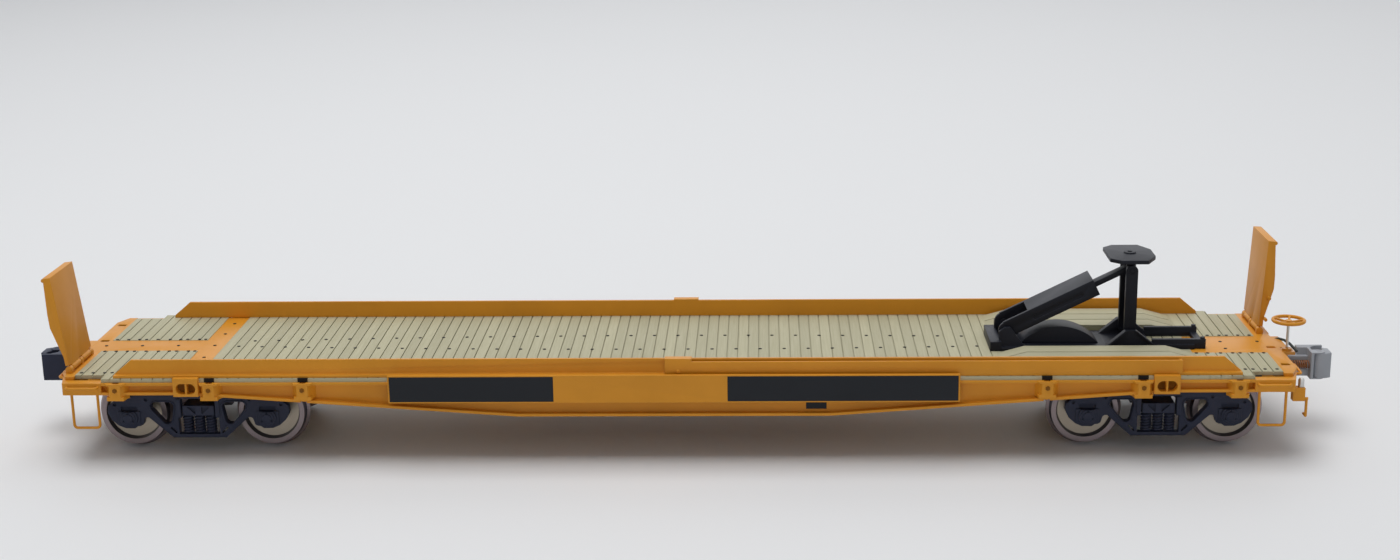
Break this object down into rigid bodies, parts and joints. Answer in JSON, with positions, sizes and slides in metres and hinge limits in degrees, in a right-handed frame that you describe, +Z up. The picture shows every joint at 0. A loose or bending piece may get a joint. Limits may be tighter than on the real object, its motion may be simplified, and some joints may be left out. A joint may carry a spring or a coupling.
{
  "type": "freight car",
  "caption": "Model flat freight car with wooden deck, guard rails, hinged bridge plates at the ends, a folding trailer hitch and swivelling rail trucks.",
  "frame": {"origin": "on the floor under the middle of the car, at the bottom of the wheel flanges", "axes": "+X along the car to the brake end, +Y across it, +Z up"},
  "size_m": [0.3412, 0.0626, 0.0478],
  "materials": {
    "body_orange": "satin",
    "deck_wood": "matte",
    "black_paint": "satin",
    "hitch_black": "satin",
    "truck_black": "matte",
    "wheel_steel": "satin",
    "axle_black": "satin",
    "coupler_grey": "satin",
    "spring_copper": "satin"
  },
  "bodies": {
    "car": {"side_sill_near": "body_orange", "side_sill_far": "body_orange", "centre_sill": "body_orange", "body_bolsters": "body_orange", "cross_bearers": "body_orange", "end_sill_a": "body_orange", "end_sill_b": "body_orange", "draft_boxes": "truck_black", "kingpin_screws": "wheel_steel", "main_deck": "deck_wood", "end_deck": "deck_wood", "deck_plates": "body_orange", "wheel_planks": "deck_wood", "guard_rail_near": "body_orange", "guard_rail_far": "body_orange", "name_boards": "body_orange", "paint_panels": "black_paint", "bridge_hinges": "body_orange", "brake_gear": "truck_black", "brake_staff": "wheel_steel", "brake_wheel": "body_orange", "sill_steps": "body_orange", "grab_irons": "body_orange", "uncoupling_levers": "body_orange", "hitch_base": "hitch_black", "hitch_saddle": "hitch_black"},
    "truck_a": {"truck_a_frame_near": "truck_black", "truck_a_frame_far": "truck_black", "truck_a_bolster": "truck_black", "truck_a_springs": "truck_black"},
    "truck_b": {"truck_b_frame_near": "truck_black", "truck_b_frame_far": "truck_black", "truck_b_bolster": "truck_black", "truck_b_springs": "truck_black"},
    "wheelset_1": {"axle_1": "axle_black", "wheels_1": "wheel_steel"},
    "wheelset_2": {"axle_2": "axle_black", "wheels_2": "wheel_steel"},
    "wheelset_3": {"axle_3": "axle_black", "wheels_3": "wheel_steel"},
    "wheelset_4": {"axle_4": "axle_black", "wheels_4": "wheel_steel"},
    "coupler_a_body": {"coupler_a": "truck_black", "knuckle_a": "truck_black", "coupler_spring_a": "spring_copper"},
    "coupler_b_body": {"coupler_b": "coupler_grey", "knuckle_b": "coupler_grey", "coupler_spring_b": "spring_copper"},
    "bridge_a": {"bridge_plate_a": "body_orange"},
    "bridge_b": {"bridge_plate_b": "body_orange"},
    "post": {"hitch_post": "hitch_black"},
    "head": {"hitch_head": "hitch_black"},
    "strut": {"strut_channel": "hitch_black"},
    "rod": {"strut_rod": "hitch_black"}
  },
  "joints": [
    {"name": "truck_a_swivel", "type": "hinge", "parent": "car", "child": "truck_a", "pos_m": [-0.123, 0, 0.00963], "axis": [0, 0, 1], "range_deg": [-10, 10]},
    {"name": "truck_b_swivel", "type": "hinge", "parent": "car", "child": "truck_b", "pos_m": [0.123, 0, 0.00963], "axis": [0, 0, 1], "range_deg": [-10, 10]},
    {"name": "wheelset_1_spin", "type": "hinge", "parent": "truck_a", "child": "wheelset_1", "pos_m": [-0.141, 0, 0.00963], "axis": [0, 1, 0], "continuous": true},
    {"name": "wheelset_2_spin", "type": "hinge", "parent": "truck_a", "child": "wheelset_2", "pos_m": [-0.105, 0, 0.00963], "axis": [0, 1, 0], "continuous": true},
    {"name": "wheelset_3_spin", "type": "hinge", "parent": "truck_b", "child": "wheelset_3", "pos_m": [0.105, 0, 0.00963], "axis": [0, 1, 0], "continuous": true},
    {"name": "wheelset_4_spin", "type": "hinge", "parent": "truck_b", "child": "wheelset_4", "pos_m": [0.141, 0, 0.00963], "axis": [0, 1, 0], "continuous": true},
    {"name": "coupler_a_swing", "type": "hinge", "parent": "car", "child": "coupler_a_body", "pos_m": [-0.1488, 0, 0.0173], "axis": [0, 0, 1], "range_deg": [-10, 10]},
    {"name": "coupler_b_swing", "type": "hinge", "parent": "car", "child": "coupler_b_body", "pos_m": [0.1488, 0, 0.0173], "axis": [0, 0, 1], "range_deg": [-10, 10]},
    {"name": "bridge_a_fold", "type": "hinge", "parent": "car", "child": "bridge_a", "pos_m": [-0.1546, -0.0157, 0.02345], "axis": [0, -1, 0], "range_deg": [0, 83]},
    {"name": "bridge_b_fold", "type": "hinge", "parent": "car", "child": "bridge_b", "pos_m": [0.1546, 0.0157, 0.02345], "axis": [0, 1, 0], "range_deg": [0, 87]},
    {"name": "post_fold", "type": "hinge", "parent": "car", "child": "post", "pos_m": [0.118, 0, 0.0256], "axis": [0, 1, 0], "range_deg": [0, 90]},
    {"name": "head_tilt", "type": "hinge", "parent": "post", "child": "head", "pos_m": [0.118, 0, 0.043], "axis": [0, 1, 0], "range_deg": [-90.5, 0]},
    {"name": "strut_swing", "type": "hinge", "parent": "car", "child": "strut", "pos_m": [0.0862, 0, 0.0273], "axis": [0, 1, 0], "range_deg": [0, 28.75]},
    {"name": "rod_slide", "type": "slide", "parent": "strut", "child": "rod", "axis": [0.8967, 0, 0.4427], "range_m": [0, 0.01387]}
  ],
  "couplings": [
    {"joint": "head_tilt", "follows": "post_fold", "ratio": -1},
    {"joint": "strut_swing", "follows": "post_fold", "ratio": 0.31394},
    {"joint": "rod_slide", "follows": "post_fold", "m_per_rad": 0.008763}
  ]
}
